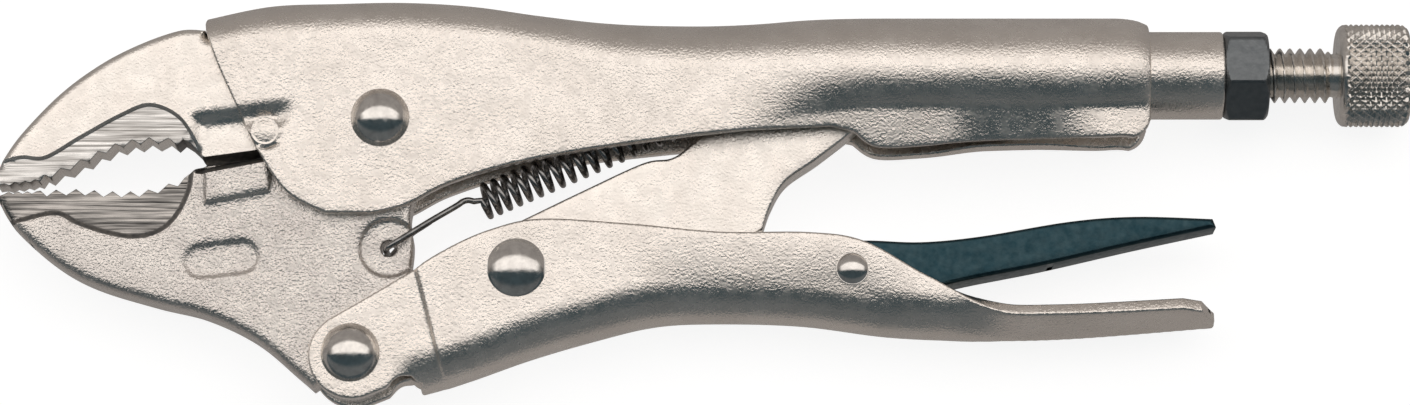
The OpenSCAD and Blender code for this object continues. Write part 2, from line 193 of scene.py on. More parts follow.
def inside(points, loop):
    a, b = loop, np.roll(loop, -1, axis=0)
    rise = b[:, 1] - a[:, 1]
    rise = np.where(rise == 0, 1e-12, rise)
    out = []
    for chunk in np.array_split(points, max(1, len(points) // 1500)):
        y = chunk[:, 1:2]
        crosses = (a[:, 1] > y) != (b[:, 1] > y)
        x = a[:, 0] + (y - a[:, 1]) / rise * (b[:, 0] - a[:, 0])
        out.append((crosses & (chunk[:, 0:1] < x)).sum(1) % 2 == 1)
    return np.concatenate(out)


def depth_in(points, loop):
    """Distance inside a closed loop, negative outside it."""
    gap = gap_to(points, loop, np.roll(loop, -1, axis=0))
    return np.where(inside(points, loop), gap, -gap)


class Step:
    """A closed loop whose inside is raised or sunk, with a sloping side of the given width."""

    def __init__(self, loop, rise, slope=0.6):
        self.loop = divide(np.vstack([loop, loop[:1]]), 0.4)[:-1]
        self.rise = rise
        self.slope = slope

    def at(self, points):
        return self.rise * ease(depth_in(points, self.loop), -self.slope / 2, self.slope / 2)

    def points(self):
        before, after = np.roll(self.loop, 1, axis=0), np.roll(self.loop, -1, axis=0)
        along = after - before
        normal = np.stack([-along[:, 1], along[:, 0]], axis=1)
        normal /= np.maximum(np.linalg.norm(normal, axis=1, keepdims=True), 1e-9)
        shifts = np.array([-0.5, -0.17, 0.17, 0.5]) * self.slope
        return np.vstack([self.loop + normal * s for s in shifts])


# ---- Meshes

def slab(parts, wrap, top, bottom, spacing, steps=(), holes=(), edge_step=0.4):
    """Plate or pressed sheet. parts are (line, edge radius) pairs that make one closed outline in
    the flat drawing; top and bottom give the heights there; wrap bends the drawing into 3-D."""
    line, radius = [], []
    for stretch, r in parts:
        stretch = divide(np.array(stretch, float), edge_step)
        line.append(stretch)
        radius.extend([r] * len(stretch))
    outline = np.vstack(line)
    radius = np.array(radius)
    keep = np.linalg.norm(outline - np.roll(outline, 1, axis=0), axis=1) > 0.02
    outline, radius = outline[keep], radius[keep]
    loops = [(outline, radius)]
    for centre, r, edge in holes:
        ring = arc(centre, r, 0, 360, 40)[:-1]
        loops.append((ring, np.full(len(ring), edge)))

    starts = np.vstack([loop for loop, _ in loops])
    ends = np.vstack([np.roll(loop, -1, axis=0) for loop, _ in loops])
    radii = np.concatenate([np.minimum(r, np.roll(r, -1)) for _, r in loops])

    def within(points):
        ok = inside(points, outline)
        for ring, _ in loops[1:]:
            ok &= ~inside(points, ring)
        return ok

    def drop(points):
        fall = np.zeros(len(points))
        for r in np.unique(radii):
            near = radii == r
            gap = gap_to(points, starts[near], ends[near])
            fall = np.maximum(fall, r - np.sqrt(np.maximum(r * r - np.maximum(r - gap, 0) ** 2, 0)))
        return fall

    rings = []
    for loop, r in loops:
        along = np.roll(loop, -1, axis=0) - np.roll(loop, 1, axis=0)
        normal = np.stack([-along[:, 1], along[:, 0]], axis=1)
        normal /= np.maximum(np.linalg.norm(normal, axis=1, keepdims=True), 1e-9)
        for share in (0.08, 0.3, 0.62, 1.0):
            for side in (1, -1):
                points = loop + normal * (side * share * r)[:, None]
                ok = within(points)
                ok[ok] = gap_to(points[ok], starts, ends) > 0.85 * share * r[ok]
                rings.append(points[ok])
    for step in steps:
        points = step.points()
        ok = within(points)
        ok[ok] = gap_to(points[ok], starts, ends) > 0.12
        rings.append(points[ok])
    rings = np.vstack(rings)

    low, high = outline.min(0), outline.max(0)
    xs = np.arange(low[0] + spacing[0] / 2, high[0], spacing[0])
    ys = np.arange(low[1] + spacing[1] / 2, high[1], spacing[1])
    grid = np.array([[x, y + (i % 2) * spacing[1] / 2] for i, x in enumerate(xs) for y in ys])
    grid = grid[within(grid)]
    grid = grid[gap_to(grid, starts, ends) > 0.3 * min(spacing)]
    cell = 0.45 * min(spacing)
    taken = {tuple(k) for k in np.round(rings / cell).astype(int)}
    near = [(i, j) for i in (-1, 0, 1) for j in (-1, 0, 1)]
    free = [all((kx + i, ky + j) not in taken for i, j in near)
            for kx, ky in np.round(grid / cell).astype(int)]
    grid = grid[np.array(free, bool)]

    fixed = np.vstack([loop for loop, _ in loops])
    links, first = [], 0
    for loop, _ in loops:
        n = len(loop)
        links.extend((first + k, first + (k + 1) % n) for k in range(n))
        first += n
    every = np.vstack([fixed, rings, grid])
    points, _, faces, origins, _, _ = delaunay_2d_cdt([Vector(p) for p in every], links, [], 0, 1e-5)
    points = np.array([tuple(p) for p in points])
    faces = np.array([tuple(f) for f in faces if len(f) == 3])
    faces = faces[within(points[faces].mean(1))]
    place = {}
    for new, olds in enumerate(origins):
        for old in olds:
            place[old] = new

    fall = drop(points)
    n = len(points)
    verts = np.vstack([wrap(points, top(points) - fall), wrap(points, bottom(points) + fall)])
    sides = []
    for a, b in links:
        a, b = place[a], place[b]
        if a != b:
            sides.append((a, b, b + n, a + n))
    polygons = [tuple(f) for f in faces] + [tuple(f[::-1] + n) for f in faces] + sides
    return verts, polygons


def flat_wrap(points, z):
    return np.column_stack([points, z])


def level(z):
    """A face of constant height."""
    return lambda points: np.full(len(points), z)


def grid_faces(rows, columns, loop_rows=False, loop_columns=False):
    faces = []
    for i in range(rows if loop_rows else rows - 1):
        for j in range(columns if loop_columns else columns - 1):
            i2, j2 = (i + 1) % rows, (j + 1) % columns
            faces.append((i * columns + j, i * columns + j2, i2 * columns + j2, i2 * columns + j))
    return faces


def turned(profile, place, segments=96, shape=None):
    """Solid of revolution. profile holds (along, radius) points; place maps (along, u, v) to the drawing;
    shape may change the radius by angle."""
    profile = np.array(profile, float)
    angles = np.arange(segments) * 2 * math.pi / segments
    along = np.repeat(profile[:, 0:1], segments, axis=1)
    radius = np.repeat(profile[:, 1:2], segments, axis=1)
    if shape:
        radius = shape(along, radius, np.repeat(angles[None], len(profile), axis=0))
    verts = place(along, radius * np.cos(angles), radius * np.sin(angles)).reshape(-1, 3)
    return verts, grid_faces(len(profile), segments, loop_columns=True)


def on_pin(centre):
    return lambda a, u, v: np.stack([centre[0] + u, centre[1] + v, a], axis=-1)


def on_screw(a, u, v):
    return np.stack([a, SCREW_Y + u, v], axis=-1)


def tube(path, radius, sides=12):
    """Round wire along a path, with closed rounded ends."""
    path = np.array(path, float)
    along = np.gradient(path, axis=0)
    along /= np.linalg.norm(along, axis=1, keepdims=True)
    across = np.cross(along[0], [0.0, 0.0, 1.0])
    across /= np.linalg.norm(across)
    rings = []
    for point, way in zip(path, along):
        across = across - way * np.dot(across, way)
        across /= np.linalg.norm(across)
        rings.append((point, across.copy(), np.cross(way, across), 1.0))
    dome = [(share, radius * math.sqrt(1 - share ** 2)) for share in (0.05, 0.5, 0.85)]
    first, last = rings[0], rings[-1]
    full = [(first[0] - along[0] * rise, first[1], first[2], share) for share, rise in dome] + rings
    full += [(last[0] + along[-1] * rise, last[1], last[2], share) for share, rise in dome[::-1]]
    angles = np.arange(sides) * 2 * math.pi / sides
    verts = [p + radius * s * (math.cos(a) * u + math.sin(a) * v) for p, u, v, s in full for a in angles]
    faces = grid_faces(len(full), sides, loop_columns=True)
    end = (len(full) - 1) * sides
    faces += [tuple(reversed(range(sides))), tuple(range(end, end + sides))]
    return np.array(verts), faces


def piece(name, shape, materials, body, nodes, sharp=35, pick=None, hang=True):
    """Object of one mesh that stands for CAD nodes and rides on their body. pick chooses the material of
    each face from its centre and normal; sharp is the angle from which an edge is creased."""
    verts, faces = shape
    mesh = bpy.data.meshes.new(name)
    mesh.from_pydata(((np.asarray(verts) + ORIGIN) * MM).tolist(), [], [list(map(int, f)) for f in faces])
    work = bmesh.new()
    work.from_mesh(mesh)
    bmesh.ops.remove_doubles(work, verts=work.verts, dist=0.004 * MM)
    bmesh.ops.dissolve_degenerate(work, edges=work.edges, dist=0.002 * MM)
    holes = [e for e in work.edges if e.is_boundary]
    if holes:
        bmesh.ops.holes_fill(work, edges=holes, sides=0)
    bmesh.ops.recalc_face_normals(work, faces=work.faces)
    work.to_mesh(mesh)
    work.free()
    for material in materials:
        mesh.materials.append(material)
    if pick:
        centres = np.array([tuple(p.center) for p in mesh.polygons]) / MM - ORIGIN
        normals = np.array([tuple(p.normal) for p in mesh.polygons])
        mesh.polygons.foreach_set("material_index", pick(centres, normals).astype(int))
    mesh.shade_smooth()
    mesh.set_sharp_from_angle(angle=math.radians(sharp))
    obj = bpy.data.objects.new(name, mesh)
    bpy.context.scene.collection.objects.link(obj)
    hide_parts(*nodes)
    if hang:
        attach(obj, body)
    return obj


# ---- Materials

class Surface:
    """Metal with its noise in object space, so it moves with its piece."""

    def __init__(self, name, colour, roughness, metallic=1.0):
        self.material = bpy.data.materials.new(name)
        self.material.use_nodes = True
        self.tree = self.material.node_tree
        self.shader = self.tree.nodes["Principled BSDF"]
        self.shader.inputs["Base Color"].default_value = (*colour, 1)
        self.shader.inputs["Roughness"].default_value = roughness
        self.shader.inputs["Metallic"].default_value = metallic
        self.place = self.node("ShaderNodeTexCoord").outputs["Object"]
        self.height = None

    def node(self, kind, **values):
        node = self.tree.nodes.new(kind)
        for key, value in values.items():
            if key in node.inputs:
                node.inputs[key].default_value = value
            else:
                setattr(node, key, value)
        return node

    def link(self, a, b):
        self.tree.links.new(a, b)

    def noise(self, size_mm, stretch=(1, 1, 1), detail=3, rough=0.5, turn=0.0):
        """Noise grains of the given size, drawn out along the axes by stretch and turned in degrees."""
        mapping = self.node("ShaderNodeMapping")
        mapping.inputs["Rotation"].default_value = (0, 0, math.radians(turn))
        mapping.inputs["Scale"].default_value = tuple(1 / (s * size_mm * MM) for s in stretch)
        self.link(self.place, mapping.inputs["Vector"])
        noise = self.node("ShaderNodeTexNoise", Scale=1.0, Detail=detail, Roughness=rough)
        self.link(mapping.outputs["Vector"], noise.inputs["Vector"])
        return noise.outputs["Fac"]

    def spread(self, value, low, high, start, end):
        node = self.node("ShaderNodeMapRange")
        for key, number in zip(("From Min", "From Max", "To Min", "To Max"), (low, high, start, end)):
            node.inputs[key].default_value = number
        self.link(value, node.inputs["Value"])
        return node.outputs["Result"]

    def between(self, value, first, second):
        node = self.node("ShaderNodeMix", data_type="RGBA")
        node.inputs["A"].default_value = (*first, 1)
        node.inputs["B"].default_value = (*second, 1)
        self.link(value, node.inputs["Factor"])
        return node.outputs["Result"]

    def bump(self, value, depth_mm):
        node = self.node("ShaderNodeBump", Strength=1.0, Distance=depth_mm * MM)
        self.link(value, node.inputs["Height"])
        if self.height is not None:
            self.link(self.height, node.inputs["Normal"])
        self.height = node.outputs["Normal"]
        self.link(self.height, self.shader.inputs["Normal"])

    def colour(self, value):
        self.link(value, self.shader.inputs["Base Color"])

    def rough(self, value):
        self.link(value, self.shader.inputs["Roughness"])


def grained(name, light, dark, roughness, grain_mm, grain_depth, wave_depth):
    """Satin nickel over blasted or forged steel: fine grain on soft waves, with slightly worn patches."""
    s = Surface(name, light, roughness)
    s.colour(s.between(s.spread(s.noise(7, detail=4), 0.35, 0.65, 0, 1), light, dark))
    s.rough(s.spread(s.noise(2.2, detail=4), 0.3, 0.7, roughness - 0.05, roughness + 0.07))
    s.bump(s.noise(3.5, detail=2), wave_depth)
    s.bump(s.noise(grain_mm, detail=2, rough=0.6), grain_depth)
    return s.material


def ground_face(name, turn, dark, light):
    """Brushed lengthwise by the grinding belt."""
    s = Surface(name, light, 0.26)
    lines = s.noise(0.42, stretch=(40, 1, 1), detail=3, rough=0.7, turn=turn)
    s.colour(s.between(s.spread(lines, 0.35, 0.62, 0, 1), dark, light))
    s.rough(s.spread(lines, 0.3, 0.7, 0.4, 0.2))
    s.bump(lines, 0.06)
    return s.material


def shaded_flank():
    """Sawn flanks of the teeth and cutters, and the sides of some steps: their dark colour is painted shade.
    """
    s = Surface("shaded_flank", (0.2, 0.19, 0.18), 0.5)
    patches = s.spread(s.noise(0.8, detail=3), 0.3, 0.7, 0, 1)
    s.colour(s.between(patches, (0.30, 0.28, 0.26), (0.15, 0.15, 0.15)))
    s.bump(s.noise(0.3, detail=2), 0.03)
    return s.material


def rivet_steel():
    s = Surface("polished_rivet", (0.8, 0.77, 0.73), 0.14)
    patches = s.spread(s.noise(1.6, detail=4), 0.35, 0.7, 0, 1)
    s.colour(s.between(patches, (0.88, 0.85, 0.81), (0.68, 0.65, 0.62)))
    s.rough(s.spread(s.noise(0.9, detail=4), 0.35, 0.75, 0.1, 0.22))
    s.bump(s.noise(1.1, detail=3), 0.02)
    return s.material


def black_oxide(name, dark, light):
    s = Surface(name, dark, 0.32)
    s.colour(s.between(s.spread(s.noise(1.4, detail=5), 0.3, 0.75, 0, 1), dark, light))
    s.rough(s.spread(s.noise(1.2, detail=4), 0.3, 0.7, 0.28, 0.42))
    s.bump(s.noise(0.4, detail=3), 0.02)
    return s.material


def spring_steel():
    s = Surface("spring_steel", (0.2, 0.2, 0.2), 0.3)
    patches = s.spread(s.noise(1.5, detail=3), 0.35, 0.65, 0, 1)
    s.colour(s.between(patches, (0.42, 0.41, 0.40), (0.22, 0.22, 0.22)))
    s.rough(s.spread(s.noise(0.8, detail=3), 0.3, 0.7, 0.18, 0.32))
    s.bump(s.noise(0.2, detail=2), 0.01)
    return s.material


def screw_steel():
    s = Surface("plated_screw", (0.85, 0.81, 0.76), 0.2)
    patches = s.spread(s.noise(2.5, detail=4), 0.35, 0.65, 0, 1)
    s.colour(s.between(patches, (0.88, 0.84, 0.79), (0.70, 0.67, 0.63)))
    s.rough(s.spread(s.noise(0.9, detail=3), 0.3, 0.7, 0.14, 0.26))
    s.bump(s.noise(0.35, detail=2), 0.015)
    return s.material


NICKEL = grained("satin_nickel", (0.95, 0.89, 0.83), (0.88, 0.82, 0.76), 0.25, 0.45, 0.12, 0.05)
# Forged nickel in two copies: the one for the fixed jaw and link is lit, and the moving jaw's is darker. That
# darkness is painted shade.
LIT_FORGED = grained("lit_forged_nickel", (0.97, 0.92, 0.86), (0.91, 0.85, 0.79), 0.27, 0.45, 0.08, 0.05)
SHADED_FORGED = grained("shaded_forged_nickel", (0.88, 0.83, 0.78), (0.76, 0.71, 0.67), 0.24, 0.45, 0.2, 0.1)
UPPER_GROUND = ground_face("upper_ground_face", -24, (0.34, 0.32, 0.30), (0.97, 0.95, 0.92))
# The moving jaw's ground face is a much darker copy of the upper jaw's. That darkness is painted shade.
SHADED_LOWER_GROUND = ground_face("shaded_lower_ground_face", 0, (0.04, 0.04, 0.04), (0.56, 0.53, 0.50))
SHADED_FLANK = shaded_flank()
RIVET = rivet_steel()
LEVER_BLACK = black_oxide("blue_black_lever", (0.022, 0.055, 0.07), (0.05, 0.09, 0.105))
NUT_BLACK = black_oxide("grey_black_nut", (0.17, 0.185, 0.195), (0.23, 0.245, 0.255))
SPRING = spring_steel()
SCREW = screw_steel()


# ---- Jaws

def jaw(name, parts, steps, holes, ground, shaded_steps, materials, body, mouth):
    """Forged jaw. materials are its forged skin, the finish of the ground step, and a dark material of painted
    shade for the steep faces in the mouth and the sides of the listed shaded steps."""
    def top(points):
        return JAW_HALF + sum(step.at(points) for step in steps)

    def pick(centres, normals):
        upright = np.abs(normals[:, 2])
        worked = (depth_in(centres[:, :2], ground.loop) > 0.1) & (upright > 0.6)
        # Steep faces in the mouth and the sides of the listed steps get the dark material of painted shade.
        flank = mouth(centres[:, 0], centres[:, 1]) & (upright < 0.35)
        for step in shaded_steps:
            flank |= (np.abs(depth_in(centres[:, :2], step.loop)) < step.slope / 2) & (upright < 0.92)
        return np.where(flank, 2, np.where(worked, 1, 0))

    shape = slab(parts, flat_wrap, top, lambda points: -top(points), (0.75, 0.75), steps, holes)
    piece(name, shape, materials, body, [name.replace("_forging", "")], pick=pick)


def fixed_jaw():
    top_line = smooth([[-67.7, -8], [-64.1, -2.5], [-57.2, 4.9], [-50.1, 10.3], [-43.1, 14], [-36, 16.5],
                       [-31.5, 16.5]])
    hidden = smooth([[-31.2, 15.3], [-27, 15.2], [-16, 15.6], [-6, 15.8]])
    rear = arc([0, 0], SEAT_R, 112, 196)
    cutter = [[-22.4, -6.2], [-31.2, -7.4], [-32.1, -5.9], [-33.6, -4.4]]
    teeth = toothed([[-59.6, -9.8], [-53.3, -7.1], [-47.2, -4.2], [-41.2, -3.1], [-35.1, -3.4]],
                    TOOTH_DEPTH)[::-1]
    nose = serrated([-60.4, -11], [NOSE_X + 0.4, -12], NOSE_PITCH, -NOSE_DEPTH)
    nose = np.vstack([nose, [[NOSE_X, -11.6]]])
    parts = [(top_line, FORGED_EDGE), (hidden, 2.2), (rear, SAWN_EDGE), (cutter, SAWN_EDGE),
             (teeth, TOOTH_EDGE), (nose, TOOTH_EDGE), ([[NOSE_X, -11.6], [NOSE_X, -9]], 0.5)]
    ground_line = smooth([[-69, -8], [-63.9, -6.7], [-59.5, -6.7], [-53.4, -3.1], [-46.3, 0.9], [-41, 2.8],
                          [-35.7, 0.4], [-32, -5.4]])
    ground = Step(np.vstack([ground_line, [[-32, -14], [-69, -14]]]), -GROUND_STEP, 0.6)
    cutter_seat = Step(np.array([[-32.8, 0.2], [-14, 2.5], [-14, -14], [-32.8, -14]]), -1.4, 2.6)
    bevel = Step(np.array([[-33.6, -7.2], [-14, -4.5], [-14, -14], [-33.6, -14]]), -2.4, 1.0)

    def mouth(x, y):
        return (x < -21) & (y < 0.5) & (y < -2.5 + (x + 32) * 0.3)

    jaw("fixed_jaw_forging", parts, [ground, bevel, cutter_seat], [], ground, [bevel],
        [LIT_FORGED, UPPER_GROUND, SHADED_FLANK], "upper_body", mouth)


def obround(centre, length, width, turn):
    """Oblong with round ends, turned by some degrees."""
    straight = (length - width) / 2
    line = np.vstack([arc([straight, 0], width / 2, -90, 90), arc([-straight, 0], width / 2, 90, 270)])
    c, s = math.cos(math.radians(turn)), math.sin(math.radians(turn))
    return line @ np.array([[c, s], [-s, c]]) + centre


def moving_jaw():
    outer = smooth([[-67.4, -15.2], [-64.8, -19.2], [-57.6, -25.5], [-50.3, -29.5], [-39.6, -32.8],
                    [-30.5, -35.1], [-21.7, -39.4], [-14.5, -45.4], [-11.5, -48]])
    lug = arc(HANDLE_PIVOT, LUG_R, -138, -40)
    rear = smooth([[1.6, -45.6], [3.6, -40], [4.4, -33], [5.5, -26.5], [5.9, -22], [5.4, -16.5],
                   [8.2, -8.5]])
    boss = arc([0, 0], BOSS_R, -30, 196)
    cutter = [[-21, -6.1], [-31.2, -7.5], [-33.6, -9.4]]
    teeth = toothed([[-60.3, -12.6], [-54, -12.3], [-47.5, -12.7], [-41.2, -12.4], [-34.8, -10.3]],
                    TOOTH_DEPTH)[::-1]
    nose = serrated([-61, -12.7], [NOSE_X + 0.4, -12.8], NOSE_PITCH, NOSE_DEPTH)
    parts = [(outer, FORGED_EDGE), (lug, 0.6), (rear, 0.9), (boss, SAWN_EDGE), (cutter, SAWN_EDGE),
             (teeth, TOOTH_EDGE), (nose, TOOTH_EDGE), ([[NOSE_X, -13.6], [NOSE_X, -14]], 0.5)]
    ground_line = smooth([[-69, -19.6], [-65.2, -18.4], [-57.7, -16.7], [-53.7, -18.4], [-48.6, -20.1],
                          [-43.5, -20.9], [-39.1, -19.8], [-36.1, -17], [-34.1, -12.8], [-33.6, -9.6]])
    ground = Step(np.vstack([ground_line, [[-33.6, -5], [-69, -5]]]), -GROUND_STEP, 1.0)
    block = Step(np.array([[-31, -15], [-31.2, -8.5], [-19.5, -5.6], [-19.7, -12.8]]), CUTTER_RISE, 0.9)
    bevel = Step(np.array([[-32.2, -9.0], [-18, -6.3], [-18, 0], [-32.2, 0]]), -4.1, 1.8)
    stamp = Step(obround([-28, -25], 13, 5.8, 7), -0.6, 1.1)
    hook_seat = Step(arc(SPRING_HOLE, 5.2, 0, 360)[:-1], -0.8, 0.9)

    def mouth(x, y):
        return (x < -20) & (y > -14.2)

    jaw("moving_jaw_forging", parts, [ground, bevel, block, stamp, hook_seat],
        [(SPRING_HOLE, 1.4, SAWN_EDGE)], ground, [ground, bevel], [SHADED_FORGED, SHADED_LOWER_GROUND, SHADED_FLANK],
        "jaw_body", mouth)


# ---- Pressed handles: tables of the cross-section by station and by length round it

class Section:
    """Skin whose half section at each x is a line of (z, y) points, measured along from its centre.
    outward is the sign that turns its normal out of the metal; softness is the width of its blends."""

    def __init__(self, stations, line_at, length, outward, softness=0.0):
        self.xs = stations
        self.outward = outward
        self.s = np.linspace(0, length, int(length / 0.1) + 1)
        z_rows, y_rows = [], []
        for x in stations:
            z, y = line_at(x)
            run = np.concatenate([[0], np.cumsum(np.hypot(np.diff(z), np.diff(y)))])
            beyond = np.maximum(self.s - run[-1], 0) * np.sign(y[-1] - y[0])
            z = np.interp(self.s, run, z)
            y = np.interp(self.s, run, y) + beyond
            if softness:
                window = int(softness / 0.1)
                kernel = np.hanning(2 * window + 3)[1:-1]
                kernel /= kernel.sum()
                pad = len(kernel) // 2
                z = np.convolve(np.concatenate([-z[pad:0:-1], z, np.full(pad, z[-1])]), kernel, "valid")
                y_end = y[-1] + (y[-1] - y[-2]) * np.arange(1, pad + 1)
                y = np.convolve(np.concatenate([y[pad:0:-1], y, y_end]), kernel, "valid")
            z_rows.append(z)
            y_rows.append(y)
        self.z = np.array(z_rows)
        self.y = np.array(y_rows)

    def look_up(self, table, x, s):
        fx = np.clip(np.interp(x, self.xs, np.arange(len(self.xs))), 0, len(self.xs) - 1.001)
        fs = np.clip(np.abs(s) / (self.s[1] - self.s[0]), 0, len(self.s) - 1.001)
        i, j = fx.astype(int), fs.astype(int)
        u, v = fx - i, fs - j
        return mix(mix(table[i, j], table[i, j + 1], v), mix(table[i + 1, j], table[i + 1, j + 1], v), u)

    def point(self, x, s):
        return np.column_stack([x, self.look_up(self.y, x, s), np.sign(s) * self.look_up(self.z, x, s)])

    def wrap(self, points, h):
        x, s = points[:, 0], points[:, 1]
        step = 0.25
        along = self.point(x + step, s) - self.point(x - step, s)
        round_it = self.point(x, s + step) - self.point(x, s - step)
        normal = np.cross(along, round_it)
        normal /= np.linalg.norm(normal, axis=1, keepdims=True)
        return self.point(x, s) + normal * (h * self.outward)[:, None]

    def length_at(self, x, y):
        """Length round the half section at which it has reached height y."""
        out = []
        for a, b in zip(np.atleast_1d(x), np.atleast_1d(y)):
            column = self.look_up(self.y, np.full(len(self.s), a), self.s)
            rising = column[-1] > column[0]
            out.append(np.interp(b if rising else -b, column if rising else -column, self.s))
        return np.array(out)


BACK_LINE = [[-31.5, 19], [-20, 21.4], [-8, 21.9], [4, 22.1], [16, 21.4], [28, 19.7], [40, 18.3], [52, 17.8],
             [66, 17.9], [80, 18.7], [100, 19.1], [136.9, 19.2]]
FRONT_EDGE = [[-31.3, 16.4], [-29.3, 10.4], [-25.7, 2.5], [-21.9, -5.5], [-16.4, -13.4], [-9.6, -17.1]]
BELLY_EDGE = [[-1.5, -17.2], [4.7, -15.7], [12.1, -11.9], [24, -8.2], [40, -5.4], [61.6, -2.9], [80, -1.7]]
FLANGE_EDGE = [[84, -2.6], [88, -5.2], [95.7, -5.1], [108, -4], [128, -3.5]]
SHOULDER_X = 130.6
SHOULDER_L = 6.3
SHELL_END_X = 136.9


def upper_section(x):
    """Half section of the upper handle from the middle of its back: a channel that turns into a barrel."""
    top = height(BACK_LINE, x)
    half_w = mix(WALL_HALF, 9.5, ease(x, 20, 66))
    r = half_w - 0.1
    low = mix(-22, -9, ease(x, 30, 80))
    turn = np.radians(np.linspace(90, 0, 24))
    channel_z = np.concatenate([np.linspace(0, half_w - r, 8)[:-1], half_w - r + r * np.cos(turn),
                                np.full(24, half_w)])
    channel_y = np.concatenate([np.full(7, top), top - r + r * np.sin(turn),
                                np.linspace(top - r, low, 25)[1:]])
    fall = np.clip((x - SHOULDER_X) / SHOULDER_L, 0, 1)
    radius = BARREL_R - 2 * (1 - math.sqrt(1 - 0.95 * fall * fall))
    round_turn = np.radians(np.linspace(90, -42, 46))
    edge_z, edge_y = radius * math.cos(round_turn[-1]), SCREW_Y + radius * math.sin(round_turn[-1])
    lean = mix(mix(0.16, 0.36, ease(x, 99, 108)), 0.04, ease(x, 116, 130))
    skirt_y = np.linspace(edge_y, low, 10)[1:]
    barrel_z = np.concatenate([radius * np.cos(round_turn), edge_z - lean * (edge_y - skirt_y)])
    barrel_y = np.concatenate([SCREW_Y + radius * np.sin(round_turn), skirt_y])
    blend = ease(x, 56, 90)
    return mix(channel_z, barrel_z, blend), mix(channel_y, barrel_y, blend)


def upper_handle():
    stations = np.concatenate([np.arange(-33, 129, 0.75), np.arange(129, 138, 0.25)])
    skin = Section(stations, upper_section, 48, -1, softness=0.9)
    edge = np.vstack([smooth(FRONT_EDGE), smooth(BELLY_EDGE), smooth(FLANGE_EDGE),
                      arc([132.9, 0.4], 4, -80, -10)])
    front = np.array([[-31.5, height(BACK_LINE, -31.5) - 1.2]])
    line = np.vstack([front, edge])
    half = np.column_stack([line[:, 0], skin.length_at(line[:, 0], line[:, 1])])
    half = np.vstack([half, [[SHELL_END_X, half[-1, 1]]]])
    loop = np.vstack([half, (half * [1, -1])[::-1], half[:1]])

    def details(points):
        """Staked end of the lock pin, the trough in front of it, and the soft waves of pressed sheet."""
        place = skin.point(points[:, 0], points[:, 1])
        flat = place[:, :2]
        ring = np.linalg.norm(flat - LOCK_PIN, axis=1)
        turn = np.arctan2(flat[:, 1] - LOCK_PIN[1], flat[:, 0] - LOCK_PIN[0])
        dome = 0.2 * (1 - ease(ring, 1.4, 2.5))
        moat = (0.32 + 0.2 * np.cos(turn + 0.5)) * np.exp(-((ring - 2.9) / 0.4) ** 2)
        under = 2.9 + (flat[:, 0] + 20) * 0.13 - flat[:, 1]
        trough = ease(under, -0.4, 2.6) * (1 - ease(under, 2.6, 5.4)) * (1 - ease(flat[:, 0], -18.5, -14.5))
        waves = WAVE * np.sin(flat[:, 0] * 0.21 + 1.3) * np.cos(flat[:, 1] * 0.3 + 0.4)
        return (dome - moat - trough + waves) * ease(np.abs(place[:, 2]), 4, 6) - WAVE

    shape = slab([(loop, SHEET_EDGE)], skin.wrap, details, level(-SHEET), (1.0, 0.7))
    tab = tab_shape()
    first = len(shape[0])
    joined = (np.vstack([shape[0], tab[0]]), shape[1] + [tuple(int(k) + first for k in f) for f in tab[1]])
    piece("upper_handle_sheet", joined, [NICKEL], "upper_body", ["upper_handle"], sharp=45)


def tab_shape():
    """Small tab under the back of the handle that holds the rear hook of the spring."""
    loop = np.array([[55.2, 5.4], [60.2, 5.4], [60.2, 15.6], [55.2, 15.6], [55.2, 5.4]])
    half = 1.2
    return slab([(loop, 0.25)], flat_wrap, level(half), level(-half),
                (1.2, 1.2), holes=[(np.array([57.4, 7.2]), 1.1, 0.2)])


GRIP_TOP = [[-9.2, -36.4], [2.9, -29.3], [12.1, -23.6], [20, -20.1], [28.6, -18.3], [43.6, -19.1], [60, -20.6],
            [76, -20.7], [85.8, -22.3], [96.8, -28.4], [107.8, -33.2], [120, -33.8], [142, -32.8]]
GRIP_LOW = [[-14, -54], [7.2, -48.9], [15.9, -46.3], [26.5, -42.5], [37.2, -39.3], [47.8, -36.7], [58, -36],
            [74.4, -36.4], [90.4, -38.4], [106, -39], [122.4, -38.7], [147.8, -36.7]]
EAR_CENTRE = np.array([-4.6, -42.6])
EAR_R = 7.7
WEB_FRONT_X = 7.6
GRIP_END_X = corners_of("lower_handle")[1][0]
JOGGLE_W = 0.9
TAIL_DROP = 1.6


def joggle_x(y):
    """Front of the slanting line at which the walls step out from the ears."""
    return 6.3 - (y + 28.3) * 0.26


def joggle(x, y):
    return ease(x, joggle_x(y), joggle_x(y) + JOGGLE_W)


def tail_share(x):
    """The tail behind the release lever is pressed nearly flat, into a shallow V."""
    return ease(x, 98, 113)


def rim(x):
    return height(GRIP_TOP, np.minimum(x, 142)) - TAIL_DROP * tail_share(x)


def lower_section(x):
    """Half section of the lower handle from the middle of its underside up the wall."""
    low = height(GRIP_LOW, x)
    r = mix(7.4, 3.4, ease(x, 96, 116))
    top = -14.0 if x < 96 else rim(x) + 1.5
    turn = np.radians(np.linspace(-90, 0, 30))
    y = np.concatenate([np.full(5, low), low + r + r * np.sin(turn), np.linspace(low + r, top, 31)[1:]])
    crown = 0.7 * ease(x, 42, 58) * np.clip((rim(x) - y) / 9, 0, 1) ** 2
    width = mix(WALL_HALF, GRIP_HALF, joggle(x, y)) - crown
    r = np.minimum(r, width - 0.3)
    inner = width - r
    bent = np.concatenate([np.linspace(0, 1, 6)[:-1] * inner[:5], inner[5:35] + r[5:35] * np.cos(turn),
                           width[35:]])
    flat = np.linspace(0, 0.6, 6)[:5]
    valley = np.concatenate([flat, 0.6 + 7 * (y[5:] - low) / (rim(x) - low)])
    return mix(mix(width, bent, ease(x, 2, WEB_FRONT_X)), valley, tail_share(x)), y


